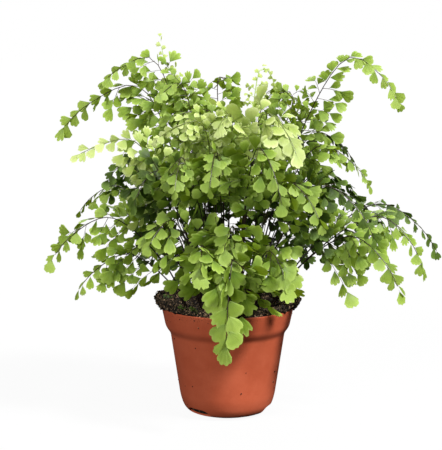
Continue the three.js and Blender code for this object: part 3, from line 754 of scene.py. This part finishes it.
# A branch leaves the stalk at a share of its length, and ends at its own tip.
BRANCHES = {
    "top_left_arch": [(0.54, (178, 100, 290))],
    "back_low": [(0.45, (96, 60, 148)), (0.5, (88, 62, 172)), (0.42, (80, 38, 164))],
    "back_low_left": [(0.45, (125, 66, 146))],
    "back_low_right": [(0.45, (52, 60, 150))],
    "back_middle_left": [(0.42, (106, 62, 186)), (0.42, (124, 64, 168))],
    "back_middle_right": [(0.42, (76, 64, 180)), (0.42, (58, 66, 166))],
    "back_right": [(0.4, (20, 68, 178)), (0.42, (40, 72, 176))],
    "back_left": [(0.4, (152, 66, 172))],
    "back_high": [(0.5, (92, 54, 216)), (0.42, (102, 50, 194))],
    "left_back": [(0.4, (166, 60, 178))],
    "front_hanging": [(0.5, (254, 92, 134)), (0.5, (286, 92, 130))],
    "right_far": [(0.34, (6, 74, 160))],
}
print("fronds:", len(FRONDS), "with long branches:", len(BRANCHES))

# %% [markdown]
# ## A frond's path
# The path goes through five points: the foot in the peat, a point on the steep climb, the crest, a shoulder
# and the tip. A centripetal Catmull-Rom curve passes through all of them without loops. The foot is read from
# the solid frond, whose lowest ring of points stands in its hole in the peat.

# %% Lay out the paths
UP = np.array([0.0, 0.0, 1.0])
PATH_POINTS = 400
CLUMP = 45


def towards(azimuth, height):
    """The unit vector at an azimuth and a height above level, both in degrees."""
    turn, rise = math.radians(azimuth), math.radians(height)
    return np.array([math.cos(turn) * math.cos(rise), math.sin(turn) * math.cos(rise), math.sin(rise)])


def polar(azimuth, radius, height):
    """A point from its azimuth in degrees, its distance from the pot's axis and its height in millimetres."""
    return (towards(azimuth, 0) * radius + UP * height) * MM


def foot_of(name):
    """The middle of the lowest three points of the solid frond, among those near the pot's axis."""
    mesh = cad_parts[f"frond_{name}"].data
    points = np.empty(len(mesh.vertices) * 3)
    mesh.vertices.foreach_get("co", points)
    points = np.unique(points.reshape(-1, 3).round(6), axis=0)
    near = points[np.hypot(points[:, 0], points[:, 1]) < CLUMP * MM]
    return near[np.argsort(near[:, 2])[:3]].mean(axis=0)


def smooth_path(knots):
    """Points evenly spaced along a centripetal Catmull-Rom curve, and its length: between two knots the curve
    is the cubic with their places and slopes, where gaps are the square roots of the distances between
    knots."""
    knots = np.vstack([2 * knots[0] - knots[1], knots, 2 * knots[-1] - knots[-2]])
    gap = np.sqrt(np.linalg.norm(np.diff(knots, axis=0), axis=1))[:, None]
    a, b, c, d = knots[:-3], knots[1:-2], knots[2:-1], knots[3:]
    g, h, k = gap[:-2], gap[1:-1], gap[2:]
    leave = ((b - a) / g - (c - a) / (g + h) + (c - b) / h) * h
    arrive = ((c - b) / h - (d - b) / (h + k) + (d - c) / k) * h
    powers = (b, leave, 3 * (c - b) - 2 * leave - arrive, 2 * (b - c) + leave + arrive)
    flat, slope, bend, twist = (power[:, None] for power in powers)
    t = np.linspace(0, 1, PATH_POINTS)[None, :, None]
    curve = (flat + slope * t + bend * t**2 + twist * t**3).reshape(-1, 3)
    run = np.concatenate([[0], np.cumsum(np.linalg.norm(np.diff(curve, axis=0), axis=1))])
    even = np.linspace(0, run[-1], PATH_POINTS)
    return np.stack([np.interp(even, run, curve[:, k]) for k in range(3)], axis=-1), run[-1]


def frond_path(name):
    """The path of a frond by the solids' rule, and its length."""
    crest, tip = polar(*FRONDS[name][0]), polar(*FRONDS[name][1])
    foot = foot_of(name)
    middle = foot + (crest - foot) * (0.38, 0.38, 0.58)
    shoulder = crest + (tip - crest) * (0.6, 0.6, 0.35)
    return smooth_path(np.array([foot, middle, crest, shoulder, tip]))


def branch_path(stalk, share, place):
    """The path of a branch, and its length: it climbs on from the stalk and arches over to its tip."""
    root, tip = stalk[int(share * PATH_POINTS)], polar(*place)
    over = root + (tip - root) * (0.55, 0.55, 0.6) + UP * 0.16 * np.linalg.norm(tip - root)
    return smooth_path(np.array([root, over, tip]))


paths = {name: frond_path(name) for name in FRONDS}
lengths = np.array([length for _, length in paths.values()])
print("stalks from", round(lengths.min() / MM), "to", round(lengths.max() / MM), "mm long")

# %% [markdown]
# ## Growing a frond
# Sprigs grow from the leafy part of the stalk, to the left and the right in turn, and a leaflet ends it. The
# lowest sprigs carry up to four pairs of leaflets with one at their end. The pairs thin out towards the tip,
# where each sprig is a single leaflet. Every sprig leans forward, droops under its own weight and is turned a
# little at random, as every leaflet is. A branch is grown in the same way on its own path. The draws are
# seeded by the frond's number, so the plant is the same each time.

# %% Measures of the growth
# The sprigs' spacing in leaflet lengths, for most fronds and for those with large and with small leaflets.
SPACING, DENSE, LOOSE = 0.46, 0.42, 0.85
SMALL_LEAF, LARGE_LEAF = 7.0, 12.4
FEWEST_SPRIGS, EARLIER, TIP_LEAF = 5, 0.08, 1.2
# The pairs thin out with a power of the share, and with the second one where the tip reaches far out.
THINNING, LONG_REACH, MOST_PAIRS = (1.5, 2.4), 115, 4
# Degrees between stalk and sprig, low and high on the stalk, then how a sprig droops, sags and rolls.
FIRST_ANGLE, LAST_ANGLE = 50, 33
DROOP, SAG, SPRIG_ROLL = 0.38, 9, 0.28
# Along the sprig, in leaflet lengths: the first leaflet, from pair to pair, and within a pair.
FIRST_LEAF, PITCH, PAIR_STEP = 0.5, 0.86, 0.42
LEAF_ANGLE, LEAF_ROLL = math.radians(44), 0.36
# A leaflet's hair, how far it runs on into the blade, and how much wider broad leaflets spread.
HAIR, INTO_LEAF, BROADER = 0.12, 0.12, 0.14
# Radii in millimetres at root and tip, and how finely each line is drawn.
STALK_RADII, BRANCH_RADII, SPRIG_RADII, HAIR_RADII = (0.85, 0.28), (0.5, 0.24), (0.26, 0.14), (0.15, 0.13)
STALK_STEPS, BRANCH_STEPS, SPRIG_POINTS, SIDES = 28, 12, 5, 6
BRANCH_BARE, BRANCH_DRAWN = 0.3, 0.8
# How green a stalk's tip is, on young curls and on other young fronds, and which small leaflets are broad.
YOUNG_GREEN, FAINT_GREEN = 1.0, 0.25
BROAD_BELOW = 8
FIRST_SEED = 100
print("leaflets on the fullest sprig:", 2 * MOST_PAIRS + 1)

# %% Grow sprigs and leaflets
def blade_frames(path, length, bare, leaf, facing):
    """Spots along the leafy part with the way along, the way across and the normal there, and each spot's
    share of the leafy part. The normal stays as near as it can to the way that the blade faces."""
    bare -= EARLIER
    leafy = 1 - bare - TIP_LEAF * leaf * MM / length
    gap = leaf * MM * (LOOSE if leaf < SMALL_LEAF else DENSE if leaf > LARGE_LEAF else SPACING)
    share = np.linspace(0, 1, max(FEWEST_SPRIGS, round(length * leafy / gap)) + 1)
    index = ((bare + leafy * share) * (PATH_POINTS - 1)).round().astype(int)
    along = unit(np.gradient(path, axis=0))[index]
    across = unit(np.cross(towards(facing[0], 90 - facing[1]), along))
    return path[index], along, across, np.cross(along, across), share


def turn_about(axis, vectors, angle):
    """vectors, at right angles to axis, turned about it by angle."""
    angle = np.asarray(angle)[..., None]
    return vectors * np.cos(angle) + np.cross(axis, vectors) * np.sin(angle)


def sagging(spot, out, x):
    """Points at the distances x along a sprig: root + out x - UP 9 x^2."""
    return spot + out * x[:, None] - UP * SAG * x[:, None] ** 2


def sprig(rng, frame_at, side, share, leaf, bushy, thinning, last):
    """The leaflets of one sprig, as arrays with a row for each, the line of its own thin stalk, and the way
    across it. Leaflets stand in pairs, one to each side, and the last one at the end."""
    spot, along, across, normal = frame_at
    pairs = 0 if last else round(bushy * (1 - share) ** thinning + rng.uniform(-0.4, 0.4))
    pairs = min(max(pairs, 0), MOST_PAIRS)
    angle = 0.0 if last else math.radians(FIRST_ANGLE + (LAST_ANGLE - FIRST_ANGLE) * share) * side
    droop = DROOP * rng.uniform(0.6, 1.4) * (1 if pairs else 0.5)
    out = unit(along * math.cos(angle) + across * math.sin(angle) - UP * droop)
    aside = turn_about(out, unit(np.cross(normal, out)), rng.normal(0, SPRIG_ROLL))
    up_side = np.cross(out, aside)
    order = np.repeat(np.arange(pairs), 2) + np.tile([0.0, PAIR_STEP], pairs)
    sides = np.append(np.tile([1.0, -1.0], pairs) * rng.choice([-1, 1]), 0.0)
    x = leaf * np.append(FIRST_LEAF + PITCH * order, FIRST_LEAF + PITCH * pairs if pairs else 0.0)
    count = len(x)
    place = sagging(spot, out, x)
    tangent = unit(out - UP * 2 * SAG * x[:, None])
    yaw = sides * (LEAF_ANGLE + rng.normal(0, 0.12, count)) + rng.normal(0, 0.1, count) * (sides == 0)
    drop = UP * rng.uniform(-0.1, 0.3, (count, 1))
    way = unit(tangent * np.cos(yaw)[:, None] + aside * np.sin(yaw)[:, None] - drop)
    width = turn_about(way, unit(np.cross(up_side, way)), rng.normal(0, LEAF_ROLL, count))
    size = leaf * np.where(sides == 0, rng.uniform(1.02, 1.34, count), rng.uniform(0.8, 1.18, count))
    size *= 1 - (0.05 if leaf > LARGE_LEAF * MM else 0.22) * share**2
    root = place + way * (HAIR * leaf * rng.uniform(0.6, 1.3, count))[:, None]
    line = sagging(spot, out, np.linspace(0, x[-1], SPRIG_POINTS)) if pairs else None
    return {
        "root": root, "out": way, "across": width, "normal": np.cross(way, width), "size": size,
        "lean": -0.2 * sides, "share": np.full(count, share), "terminal": sides == 0,
        "hair": np.stack([place, root + way * size[:, None] * INTO_LEAF], axis=1),
    }, line, aside


def grow_sprigs(rng, path, length, bare, leaf, facing, bushy, thinning):
    """A sprig at every spot of a stalk, to its left and its right in turn, and a leaflet at its tip."""
    *axes, share = blade_frames(path, length, bare, leaf, facing)
    last = len(share) - 1
    habit = (leaf * MM, bushy, thinning)
    return [
        sprig(rng, [axis[i] for axis in axes], 1 if i % 2 else -1, share[i], *habit, i == last)
        for i in range(last + 1)
    ]


print("a sprig 20 mm long sags by", round(SAG * (20 * MM) ** 2 / MM, 1), "mm")

# %% Grow the fronds
def make_green(rng, name, grown, parts, tone, young, broad):
    """Two pieces from a list of sprigs: all their leaflets, and the rods in parts with every sprig's stalk
    and each leaflet's hair."""
    leaves = {key: np.concatenate([row[key] for row, _, _ in grown]) for key in grown[0][0]}
    end, share, hair = (leaves.pop(key) for key in ("terminal", "share", "hair"))
    count = len(end)

    def draw(low, high):
        return rng.uniform(low, high, count)

    points = fans(
        **leaves,
        half=(BROADER if broad else 0.0) + np.where(end, draw(0.50, 0.76), draw(0.42, 0.68)),
        skew=-0.6 * leaves["lean"] * draw(0.3, 1.3),
        corner=draw(0.18, 0.38),
        lobes=rng.choice([3, 3, 4, 5], count),
        start=rng.choice([0.0, 0.0, 0.5], count),
        notch=np.where(end, draw(0.06, 0.22), draw(0.04, 0.15)),
        curl=draw(0.3, 1.5) if young else draw(0.05, 0.8),
        fold=draw(0.1, 0.7) if young else draw(-0.15, 0.5),
    )
    tones = np.stack([draw(0, 1), share], axis=-1)
    maps = {"fan": np.tile(FAN_MAP, (count, 1)), "tone": np.repeat(tones, len(FAN_MAP), axis=0)}
    faces = [copies(FAN_FACES, count, len(FAN_MAP))]
    blades = make_piece(f"leaves_{name}", points.reshape(-1, 3), faces, leaf[tone], maps, crisp=70.0)
    sprigs = [(line, aside) for _, line, aside in grown if line is not None]
    if sprigs:
        lines, beside = (np.array(column) for column in zip(*sprigs))
        parts.append(rods(lines, SPRIG_RADII, beside))
    parts.append(rods(hair, HAIR_RADII, leaves["across"]))
    # Only the first rods keep their share of the height, for everything else is up among the leaflets.
    points, faces, shares = zip(*parts)
    firsts = np.cumsum([0] + [len(share) for share in shares])
    heights = np.concatenate([shares[0], np.ones(firsts[-1] - firsts[1])])
    age = np.full(len(heights), YOUNG_GREEN if young else FAINT_GREEN if tone == "young" else 0.0)
    faces = [rows + first for rows, first in zip(faces, firsts)]
    maps = {"tone": np.stack([heights, age], axis=-1)}
    stalk = make_piece(f"stalk_{name}", np.vstack(points), faces, stalk_black, maps, crisp=60.0)
    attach(blades, "root")
    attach(stalk, "root")
    return blades, stalk


def grow_frond(number, name):
    """Both pieces of a frond: its leaflets, and its stalk with its branches, sprigs and hairs."""
    crest, tip, leaf_length, bare, facing, bushy, tone = FRONDS[name]
    path, length = paths[name]
    rng = np.random.default_rng(FIRST_SEED + number)
    habit = (leaf_length, facing, bushy, THINNING[tip[1] > LONG_REACH])
    aside = towards(crest[0] + 90, 0)[None]
    grown = grow_sprigs(rng, path, length, bare, *habit)
    stem = np.vstack([path[:: PATH_POINTS // STALK_STEPS], path[-1:]])
    stem = stem[None, : round((STALK_STEPS + 1) * (1 - leaf_length * MM / length))]
    parts = [rods(stem, STALK_RADII, aside, SIDES)]
    for branch in BRANCHES.get(name, []):
        line, reach = branch_path(path, *branch)
        grown += grow_sprigs(rng, line, reach, BRANCH_BARE, *habit)
        stem = line[None, : round(PATH_POINTS * BRANCH_DRAWN) : PATH_POINTS // BRANCH_STEPS]
        parts.append(rods(stem, BRANCH_RADII, aside, SIDES))
    young = tone == "young" and leaf_length < SMALL_LEAF
    broad = leaf_length > LARGE_LEAF or leaf_length < BROAD_BELOW
    pieces = make_green(rng, name, grown, parts, tone, young, broad)
    for piece in pieces:
        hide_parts(f"frond_{name}")
    return pieces


pieces = [piece for number, name in enumerate(FRONDS) for piece in grow_frond(number, name)]

# %% [markdown]
# ## Old stalks
# A maidenhair fern keeps its old stalks for a year or more after their leaflets have dropped. They stand in
# the clump between the living ones, bare and black, and make the dark thicket that shows under the leaves.

# %% Add the old stalks
OLD_STALKS = 34
OLD_RADII = (0.62, 0.26)
OLD_STEPS = 12
OLD_CLUMP = 30
OLD_FOOT = 90


def old_stalks(rng, count):
    """Lines from the clump outwards. At share t of its height, a line is reach t^1.7 away from its foot."""
    turn = rng.uniform(0, 2 * np.pi, count)
    foot = np.sqrt(rng.uniform(0.04, 1, count)) * OLD_CLUMP
    way = np.stack([np.cos(turn), np.sin(turn)], axis=-1)[:, None]
    t = np.linspace(0, 1, OLD_STEPS)[None, :, None]
    reach = rng.uniform(6, 42, (count, 1, 1)) * t**1.7
    swerve = rng.uniform(-9, 9, (count, 1, 1)) * t**2
    level = foot[:, None, None] * way + reach * way + swerve * way[..., ::-1] * (1, -1)
    height = OLD_FOOT + t * rng.uniform(45, 140, (count, 1, 1))
    return np.concatenate([level, height], axis=-1) * MM


rng = np.random.default_rng(47)
widths = rng.uniform(0.8, 1.2, (OLD_STALKS, 1))
aside = np.tile([[1.0, 0.0, 0.0]], (OLD_STALKS, 1))
points, faces, share = rods(old_stalks(rng, OLD_STALKS), OLD_RADII, aside, SIDES, widths)
tone = np.stack([share, np.zeros(len(share))], axis=-1)
dead = make_piece("stalks_old", points, [faces], stalk_black, {"tone": tone}, crisp=60.0)
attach(dead, "root")
print("old stalks:", OLD_STALKS, "faces:", len(dead.data.polygons))

# %% [markdown]
# ## Sporelings
# Ferns sow themselves: where the peat stays damp, tiny new ones come up beside the old clump. Each is a sprig
# of a few leaflets as small as a match head, which stands up from the peat's grid near the rim. The helper
# that grows the sprigs of a frond makes them, too.

# %% Sow the sporelings
SPORELINGS = 16


def sow(rng, count):
    """Sprigs on the peat: most to the left of the front, a few at the other sides."""
    row = TOP_ROW + (rng.uniform(0.3, 0.5, count) * TOP_ROWS).astype(int)
    left = rng.uniform(0, 1, count) < 0.6
    turn = np.where(left, rng.uniform(-0.16, -0.07, count), rng.uniform(0, 1, count))
    spots = ground[(turn * SOIL_TURNS).astype(int) % SOIL_TURNS, row]
    along = unit(UP + rng.normal(0, 0.4, (count, 3)))
    across = unit(np.cross(along, rng.normal(size=(count, 3))))
    sizes = rng.uniform(1.8, 3.4, count) * MM
    frames = zip(spots, along, across, np.cross(along, across))
    return [sprig(rng, frame_at, 1, 0.0, size, 1.5, 1, False) for frame_at, size in zip(frames, sizes)]


rng = np.random.default_rng(61)
# The sporelings take the darkest green as painted shade, for they stand under the fronds.
sprouts = make_green(rng, "sporelings", sow(rng, SPORELINGS), [], "deep", False, True)
print("sporelings:", SPORELINGS, "faces:", [len(piece.data.polygons) for piece in sprouts])

# %% [markdown]
# ## Floor and light
# The plant was photographed on white, in broad soft light: most of it from the right and above, less from the
# left, and a little from behind. Three distant lights give that, and the wider each one looks the softer its
# shadows are. The camera sees a white sky, which sheds only a little light, more of it from above. The floor
# gives nearly all of its light itself, so it comes out as pale as in the photograph, with a faint shadow.

# %% Set the stage
WHITE = "FFFFFF"
FLOOR_GLOW = 0.97
FLOOR = 12.0
FLOOR_DROP = 0.0002


def floor_finish():
    """A matt white that is mixed with its own light by the glow's share."""
    finish = Finish("floor_white")
    grain = finish.noise(3.0, 2.0)
    colour = finish.blend(grain.eased(0.3, 0.7), (0.93, 0.93, 0.93, 1.0), (0.95, 0.95, 0.95, 1.0))
    lit = finish.principled(colour, 0.9, 0.1)
    glow = finish.add("ShaderNodeEmission", {}, {"Color": WHITE, "Strength": FLOOR_GLOW})
    finish.owner.cycles.emission_sampling = "NONE"
    return finish.surface(finish.add("ShaderNodeMixShader", {}, {0: FLOOR_GLOW, 1: lit, 2: glow}))


corners = np.array([(-1, -1, 0), (1, -1, 0), (1, 1, 0), (-1, 1, 0)]) * (FLOOR, FLOOR, 1) - UP * FLOOR_DROP
floor = make_piece("floor", corners, [np.array([[0, 1, 2, 3]])], floor_finish())
floor.visible_diffuse = False
floor.visible_glossy = False
print("floor:", 2 * FLOOR, "m wide")

# %% Light it
def sun(name, azimuth, height, softness, strength):
    """A distant light from an azimuth and a height in degrees. softness is how wide it looks, in degrees."""
    light = bpy.data.lights.new(name, "SUN")
    light.angle = math.radians(softness)
    light.energy = strength
    lamp = bpy.data.objects.new(name, light)
    bpy.context.scene.collection.objects.link(lamp)
    lamp.rotation_euler = Vector(towards(azimuth, height)).to_track_quat("Z", "Y").to_euler()


def sky(seen, low, high):
    """A white sky: how bright the camera sees it, and how much light it sheds from below and from above."""
    finish = Finish("sky", "World")
    height = finish.add("ShaderNodeTexCoord", {}, {}, "Generated").split()[2]
    graded = {"Value": height, "From Min": -0.3, "From Max": 0.9, "To Min": low, "To Max": high}
    shed = finish.add("ShaderNodeMapRange", {}, graded)
    straight = finish.add("ShaderNodeLightPath", {}, {}, "Is Camera Ray")
    strength = finish.add("ShaderNodeMapRange", {}, {"Value": straight, "To Min": shed, "To Max": seen})
    return finish.surface(finish.add("ShaderNodeBackground", {}, {"Color": WHITE, "Strength": strength}))


sun("sun_right", -36, 46, 11, 6.3)
sun("fill_left", -118, 27, 24, 2.2)
sun("soft_back", 95, 30, 40, 1.7)
bpy.context.scene.world = sky(1.0, 0.05, 0.28)
bpy.context.scene.view_settings.view_transform = "Standard"
